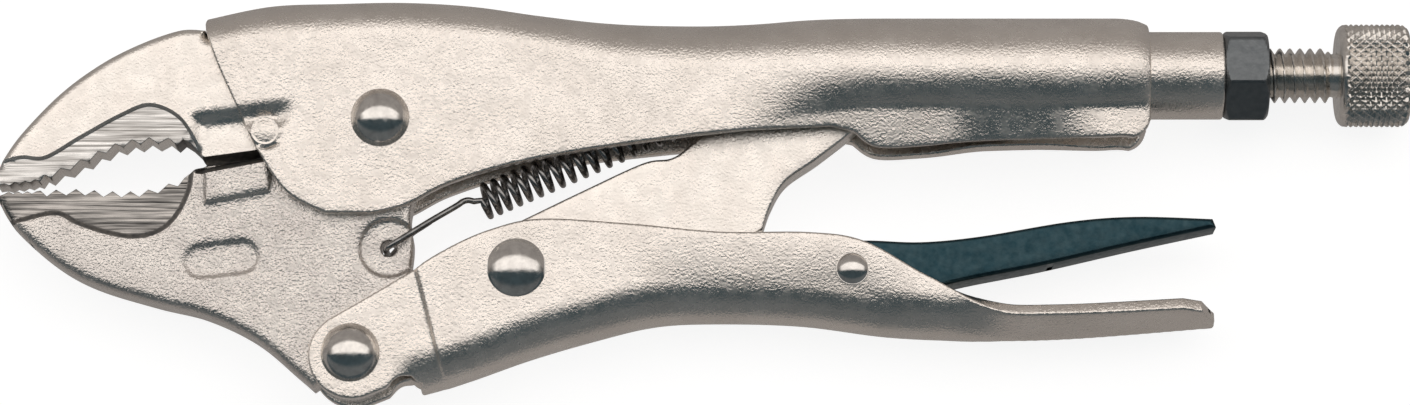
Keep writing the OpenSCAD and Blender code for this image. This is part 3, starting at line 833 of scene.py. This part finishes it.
def lower_handle():
    stations = np.concatenate([np.arange(-14, 14, 0.25), np.arange(14, 150, 0.8)])
    skin = Section(stations, lower_section, 46, 1)
    top = np.vstack([smooth(GRIP_TOP), [[145.4, -33.2], [GRIP_END_X, -34.6]]])
    top[:, 1] -= TAIL_DROP * tail_share(top[:, 0])
    ear = arc(EAR_CENTRE, EAR_R, -218, -75, 40)
    chin = np.array([[1.5, -48.4], [6, -46.3], [WEB_FRONT_X, -47.4]])
    line = np.vstack([top[::-1], ear, chin])
    half = np.column_stack([line[:, 0], skin.length_at(line[:, 0], line[:, 1])])
    loop = np.vstack([half, (half * [1, -1])[::-1], half[:1]])

    def details(points):
        place = skin.point(points[:, 0], points[:, 1])
        waves = WAVE * np.sin(place[:, 0] * 0.17) * np.cos(place[:, 1] * 0.31 + 0.9)
        return waves * ease(np.abs(place[:, 2]), 4, 6.5) - WAVE

    seam_y = np.linspace(-26, -46, 60)
    seam_x = joggle_x(seam_y)
    seam_s = skin.length_at(seam_x + JOGGLE_W / 2, seam_y)
    strip = np.vstack([np.column_stack([seam_x, seam_s]),
                       np.column_stack([seam_x + JOGGLE_W, seam_s])[::-1]])
    seams = [Step(strip, 0, 0.6), Step(strip * [1, -1], 0, 0.6)]
    shape = slab([(loop, SHEET_EDGE)], skin.wrap, details, level(-SHEET), (1.0, 0.7), seams)
    piece("lower_handle_sheet", shape, [NICKEL], "grip_body", ["lower_handle"], sharp=45)


# ---- Link, lever and leaf

def toggle_link():
    half = size_of("toggle_link")[2] / 2
    top_line = smooth([[25, -18], [36, -12.6], [46.7, -7.6], [52.2, -6.5], [58, -2], [70, 4.6], [84, 9.6]])
    tail = arc([90, 6.6], 4.4, 100, -70)
    rear = smooth([[88.4, 2.2], [83.6, -2.2], [77.6, -6.9], [72, -10.9], [69.3, -15.3], [67.8, -19.6]])
    low = np.vstack([[[66.4, -22.4], [64, -23.2]], smooth([[58, -25.6], [44, -30], [31, -33.6]])])
    boss = np.vstack([arc(LINK_PIVOT, 7.2, -75, -235), [[25, -18]]])
    parts = [(line, 0.5) for line in (top_line, tail, rear, low, boss)]
    shape = slab(parts, flat_wrap, level(half), level(-half), (1.2, 1.2))
    piece("toggle_link_forging", shape, [LIT_FORGED], "link_body", ["toggle_link"])


LEVER_TOP = [[62.6, -27.2], [72, -25.3], [79, -22.4], [85.9, -21.6], [95.7, -21.9], [106.3, -20.9],
             [122.3, -18.2], [134, -17.3], [147.6, -17.7]]
LEVER_LOW = [[148.2, -19.2], [133.4, -22.4], [117.3, -26.1], [103.7, -28.8], [94, -31.2], [84, -32.6],
             [72, -31], [62.6, -28.9]]


def release_lever():
    half = size_of("release_lever")[2] / 2
    parts = [(line, 0.7) for line in (smooth(LEVER_TOP), smooth(LEVER_LOW), [LEVER_LOW[-1], LEVER_TOP[0]])]

    def top(points):
        return np.full(len(points), half) - 0.25 * ease(points[:, 0], 100, 148)

    shape = slab(parts, flat_wrap, top, lambda p: -top(p), (1.2, 1.0))
    piece("release_lever_blade", shape, [LEVER_BLACK], "lever_body", ["release_lever"])


def lever_spring():
    low, high = corners_of("lever_spring")
    line = smooth([[70, -32.7], [78, -33.3], [88, -34.6]], 12)
    loop = np.vstack([line, (line - [0, 0.5])[::-1], line[:1]])
    half = (high[2] - low[2]) / 2
    shape = slab([(loop, 0.08)], flat_wrap, level(half), level(-half),
                 (0.6, 0.3))
    piece("lever_spring_leaf", shape, [SPRING], "grip_body", ["lever_spring"])


# ---- Rivets, washers and pin

def rivet(node, centre, shank_d, head_d, grip, body, material=RIVET):
    """Rivet with a domed head on each side of a grip of the given half width."""
    rise = size_of(node)[2] / 2 - grip
    dome_r = (head_d ** 2 / 4 + rise ** 2) / (2 * rise)
    widest = math.asin(min(1.0, head_d / 2 / dome_r))
    head = [(grip + rise - dome_r + dome_r * math.cos(a), dome_r * math.sin(a))
            for a in np.linspace(0.004, widest - 0.06, 20)]
    lip = [(grip + 0.18, head_d / 2 - 0.06), (grip, head_d / 2 - 0.22)]
    one_side = head + lip + [(grip - 0.1, shank_d / 2)]
    profile = one_side + [(-a, r) for a, r in reversed(one_side)]
    piece(node + "_head", turned(profile, on_pin(centre)), [material], body, [node], sharp=50)


def rivets():
    rivet("jaw_pivot_rivet", [0, 0], RIVET_D, RIVET_HEAD_D, WALL_HALF - 0.06, "upper_body")
    rivet("handle_pivot_rivet", HANDLE_PIVOT, RIVET_D, RIVET_HEAD_D, WALL_HALF - 0.06, "grip_body")
    rivet("link_rivet", LINK_PIVOT, RIVET_D, RIVET_HEAD_D, GRIP_HALF - 0.06, "grip_body")
    rivet("lever_rivet", LEVER_PIVOT, 3.6, 5.8, GRIP_HALF - 0.06, "grip_body")
    rivet("jaw_lock_pin", LOCK_PIN, 4.9, 5.0, WALL_HALF - 0.05, "upper_body", NICKEL)


def washer(node):
    low, high = corners_of(node)
    outer, bore, edge = (high[0] - low[0]) / 2, RIVET_D / 2, 0.2
    profile = [(low[2], bore), (low[2], outer - edge), (low[2] + edge, outer), (high[2] - edge, outer),
               (high[2], outer - edge), (high[2], bore), (low[2], bore)]
    piece(node + "_ring", turned(profile, on_pin(LINK_PIVOT)), [RIVET], "grip_body", [node])


# ---- Adjusting screw and its neighbours

def threaded_sleeve():
    low, high = corners_of("threaded_sleeve")
    outer = (high[2] - low[2]) / 2
    edge = 0.5
    turn = np.radians(np.linspace(0, 90, 7))
    end = [(high[0] - edge + edge * math.sin(a), outer - edge + edge * math.cos(a)) for a in turn]
    profile = [(low[0], SCREW_BORE_R), (low[0], outer - 0.3), (low[0] + 0.3, outer)] + end
    profile += [(high[0], SCREW_BORE_R), (low[0], SCREW_BORE_R)]
    piece("threaded_sleeve_tube", turned(profile, on_screw), [NICKEL], "upper_body",
          ["threaded_sleeve"])


def lock_nut():
    low, high = corners_of("lock_nut")
    width = 15.0
    corner = width / math.sqrt(3)
    turn = math.radians(17.8)
    chamfer = 1.0
    face_r, chamfer_r, beyond = 5.6, width / 2 - 0.5, 20.0
    rows = [(low[0], SCREW_BORE_R), (low[0], face_r), (low[0] + 0.02, chamfer_r)]
    rows += [(x, beyond) for x in np.linspace(low[0] + 0.04, high[0] - 0.04, 34)]
    rows += [(high[0] - 0.02, chamfer_r), (high[0], face_r), (high[0], SCREW_BORE_R), (low[0], SCREW_BORE_R)]

    def shape(along, radius, angle):
        local = np.mod(angle - turn + math.pi / 6, math.pi / 3) - math.pi / 6
        flat = width / 2 / np.cos(local)
        hexagon = np.minimum(flat, corner * 0.985)
        near_end = np.minimum(along - low[0], high[0] - along)
        cone = width / 2 - 0.25 + (corner - width / 2 + 0.25) * np.clip(near_end / chamfer, 0, 1)
        return np.minimum(radius, np.minimum(hexagon, cone))

    piece("lock_nut_hexagon", turned(rows, on_screw, 180, shape), [NUT_BLACK], "nut_body",
          ["lock_nut"], sharp=22)


def adjusting_screw():
    low, high = corners_of("adjusting_screw")
    tip, thread_start, thread_end = low[0], low[0] + 4, 169.0
    crest, root, shank = 4.9, 3.8, 3.98
    rows = [(tip, 0.02), (tip, root - 0.6), (tip + 0.6, root - 0.05)]
    rows += [(x, crest) for x in np.arange(thread_start - 1, thread_end + 0.6, PITCH / 9)]
    rows += [(thread_end + 0.9, shank), (high[0], shank), (high[0], 0.02)]

    def shape(along, radius, angle):
        wave = np.abs(np.mod(along / PITCH - angle / (2 * math.pi), 1) * 2 - 1)
        ridge = root + (crest - root) * np.clip((wave - 0.08) / 0.8, 0, 1)
        run_in = ease(along, thread_start - 0.6, thread_start + 0.6)
        run_out = 1 - ease(along, thread_end - 0.4, thread_end + 0.5)
        threaded = mix(root, ridge, run_in * run_out)
        return np.where(radius > crest - 0.01, threaded, radius)

    piece("adjusting_screw_thread", turned(rows, on_screw, 72, shape), [SCREW], "screw_body",
          ["adjusting_screw"], sharp=60)


def adjusting_knob():
    low, high = corners_of("adjusting_knob")
    r = (high[2] - low[2]) / 2
    edge = 1.7
    band = 1.4
    around = 30
    cell = 1.85
    knurl_depth = 0.75
    turn = np.radians(np.linspace(0, 90, 10))
    front = [(low[0] + edge * (1 - math.sin(a)), r - edge * (1 - math.cos(a))) for a in turn[::-1]]
    rear = [(high[0] - edge * (1 - math.sin(a)), r - edge * (1 - math.cos(a))) for a in turn]
    body = [(x, r) for x in np.arange(front[-1][0] + 0.1, rear[0][0], 0.13)]
    dish = [(high[0], r - edge - 0.3), (high[0] - 0.25, r - edge - 1.0), (high[0] - 0.3, 0.02)]
    hole_r, hole_end = 4.05, 181.1
    hole = [(hole_end, 0.02), (hole_end, hole_r), (low[0], hole_r)]
    profile = [(low[0], hole_r)] + front + body + rear + dish + hole

    def shape(along, radius, angle):
        a = np.mod(angle * around / (2 * math.pi) + along / cell, 1)
        b = np.mod(angle * around / (2 * math.pi) - along / cell, 1)
        groove = np.maximum(np.abs(a - 0.5), np.abs(b - 0.5)) * 2
        deep = np.clip((groove - 0.12) / 0.82, 0, 1) * knurl_depth
        reach = ease(along, low[0] + band - 0.15, low[0] + band + 0.15)
        reach *= 1 - ease(along, high[0] - 0.9, high[0] - 0.3)
        return np.where(radius > r - 1.2, radius - deep * reach, radius)

    piece("adjusting_knob_knurled", turned(profile, on_screw, 420, shape), [SCREW], "knob_body",
          ["adjusting_knob"], sharp=50)


# ---- Return spring

def return_spring():
    """Coil with a hook through the moving jaw's hole and a tail on the tab of the upper handle."""
    wire = 0.54
    coil_r = 2.82
    front, rear = np.array([17.9, -14.2, 0.0]), np.array([52.6, 1.0, 0.0])
    turns = 17
    axis = (rear - front) / np.linalg.norm(rear - front)
    across = np.array([-axis[1], axis[0], 0.0])
    length = np.linalg.norm(rear - front)
    count = turns * 20
    helix = []
    for k in range(count + 1):
        share = k / count
        run = length * (0.82 * share + 0.18 * share * share)
        angle = 2 * math.pi * turns * share + math.pi / 2
        spoke = math.cos(angle) * across + math.sin(angle) * np.array([0, 0, 1])
        helix.append(front + axis * run + coil_r * spoke)
    hook = smooth([[8.7, -17.9, 1.8], [7.2, -18.0, -2.6], [5.2, -18.8, -5.3], [3.4, -20.6, -5.7],
                   [2.0, -22.4, -5.4], [1.1, -23.4, -4.0], [1.1, -23.3, 0.0], [1.2, -23.2, 4.2],
                   [2.2, -22.6, 5.4], [5.2, -20.7, 5.3], [9.0, -18.2, 4.6], [13.4, -15.4, 3.6],
                   [14.6, -14.5, 3.2], [15.6, -14.2, 3.0], [16.6, -14.4, 2.9]], 10)
    tail = smooth([[53.3, 1.5, 2.6], [54.9, 2.6, 1.0], [56.0, 4.2, 0.2], [56.7, 6.2, -1.0],
                   [57.4, 7.2, -2.2]], 8)
    path = np.vstack([hook, np.array(helix), tail])
    shape = tube(path, wire, 12)
    obj = piece("return_spring_coil", shape, [SPRING], "upper_body", ["return_spring"],
                sharp=80, hang=False)
    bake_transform(obj)


# ---- Studio

DARK_ROOM = (0.045, 0.065, 0.075)


def camera():
    low, high = np.array(cad_box[0]), np.array(cad_box[1])
    target = (low + high) / 2
    tilt = math.radians(10)
    distance = 1.08
    view_width = 0.251
    data = bpy.data.cameras.new("camera")
    data.sensor_width = 36
    data.lens = 36 * distance / view_width
    data.clip_end = 10
    obj = bpy.data.objects.new("camera", data)
    obj.location = target + distance * np.array([0, -math.sin(tilt), math.cos(tilt)])
    obj.rotation_euler = (tilt, 0, 0)
    bpy.context.scene.collection.objects.link(obj)
    bpy.context.scene.camera = obj


def floor():
    """White floor, which the metal sees as a grey table with a dark room beyond its front edge."""
    mesh = bpy.data.meshes.new("floor")
    half = 3.0
    corners = [(-half, -half, 0), (half, -half, 0), (half, half, 0), (-half, half, 0)]
    mesh.from_pydata(corners, [], [(0, 1, 2, 3)])
    material = bpy.data.materials.new("pale_floor")
    material.use_nodes = True
    tree = material.node_tree
    shader = tree.nodes["Principled BSDF"]
    shader.inputs["Base Color"].default_value = (0.35, 0.35, 0.35, 1)
    shader.inputs["Roughness"].default_value = 0.9
    shader.inputs["Specular IOR Level"].default_value = 0.1
    shader.inputs["Emission Color"].default_value = (1, 1, 1, 1)
    shader.inputs["Emission Strength"].default_value = 0.86
    place = tree.nodes.new("ShaderNodeNewGeometry")
    axes = tree.nodes.new("ShaderNodeSeparateXYZ")
    tree.links.new(place.outputs["Position"], axes.inputs["Vector"])
    front_edge = tree.nodes.new("ShaderNodeMapRange")
    tree.links.new(axes.outputs["Y"], front_edge.inputs["Value"])
    front_edge.inputs["From Min"].default_value = -0.115
    front_edge.inputs["From Max"].default_value = -0.075
    tone = tree.nodes.new("ShaderNodeMix")
    tone.data_type = "RGBA"
    tree.links.new(front_edge.outputs["Result"], tone.inputs["Factor"])
    tone.inputs["A"].default_value = (*DARK_ROOM, 1)
    tone.inputs["B"].default_value = (0.27, 0.255, 0.245, 1)
    dim = tree.nodes.new("ShaderNodeEmission")
    tree.links.new(tone.outputs["Result"], dim.inputs["Color"])
    paths = tree.nodes.new("ShaderNodeLightPath")
    chooser = tree.nodes.new("ShaderNodeMixShader")
    tree.links.new(paths.outputs["Is Glossy Ray"], chooser.inputs["Fac"])
    tree.links.new(shader.outputs["BSDF"], chooser.inputs[1])
    tree.links.new(dim.outputs["Emission"], chooser.inputs[2])
    tree.links.new(chooser.outputs["Shader"], tree.nodes["Material Output"].inputs["Surface"])
    mesh.materials.append(material)
    obj = bpy.data.objects.new("floor", mesh)
    bpy.context.scene.collection.objects.link(obj)


def studio():
    """Room seen by the metal: a warm softbox overhead, a mid grey side behind and a dark side in front.
    Its colour changes with the lean, the angle from straight up towards the back of the tool."""
    world = bpy.data.worlds.new("studio")
    bpy.context.scene.world = world
    world.use_nodes = True
    tree = world.node_tree
    background = tree.nodes["Background"]
    direction = tree.nodes.new("ShaderNodeTexCoord").outputs["Generated"]
    parts = tree.nodes.new("ShaderNodeSeparateXYZ")
    tree.links.new(direction, parts.inputs["Vector"])

    def calculate(operation, a, b):
        node = tree.nodes.new("ShaderNodeMath")
        node.operation = operation
        for socket, value in zip(node.inputs, (a, b)):
            if isinstance(value, (int, float)):
                socket.default_value = value
            else:
                tree.links.new(value, socket)
        return node.outputs[0]

    def fade(value, low, high, start, end):
        node = tree.nodes.new("ShaderNodeMapRange")
        node.interpolation_type = "SMOOTHSTEP"
        tree.links.new(value, node.inputs["Value"])
        for key, number in zip(("From Min", "From Max", "To Min", "To Max"), (low, high, start, end)):
            node.inputs[key].default_value = number
        return node.outputs["Result"]

    def blend(factor, first, second):
        node = tree.nodes.new("ShaderNodeMix")
        node.data_type = "RGBA"
        tree.links.new(factor, node.inputs["Factor"])
        for key, value in (("A", first), ("B", second)):
            if isinstance(value, tuple):
                node.inputs[key].default_value = (*value, 1)
            else:
                tree.links.new(value, node.inputs[key])
        return node.outputs["Result"]

    lean = calculate("ARCTAN2", parts.outputs["Y"], parts.outputs["Z"])
    softbox = (1.14, 1.09, 1.05)
    behind = (0.30, 0.28, 0.265)
    before = DARK_ROOM
    below = (0.12, 0.13, 0.135)
    beside = (0.14, 0.135, 0.13)
    from_front = fade(lean, math.radians(-10), math.radians(2), 0, 1)
    to_back = fade(lean, math.radians(35), math.radians(44), 0, 1)
    ends = fade(calculate("ABSOLUTE", parts.outputs["X"], 0.0), 0.84, 0.99, 0, 1)
    lit = blend(to_back, blend(ends, softbox, beside), behind)
    low_front = fade(lean, math.radians(-62), math.radians(-42), 0, 1)
    colour = blend(from_front, blend(low_front, below, before), lit)
    tree.links.new(colour, background.inputs["Color"])
    background.inputs["Strength"].default_value = 1.0
    bpy.context.scene.view_settings.view_transform = "Standard"


camera()
floor()
studio()
fixed_jaw()
moving_jaw()
upper_handle()
lower_handle()
toggle_link()
release_lever()
lever_spring()
rivets()
washer("link_washer_left")
washer("link_washer_right")
threaded_sleeve()
lock_nut()
adjusting_screw()
adjusting_knob()
return_spring()
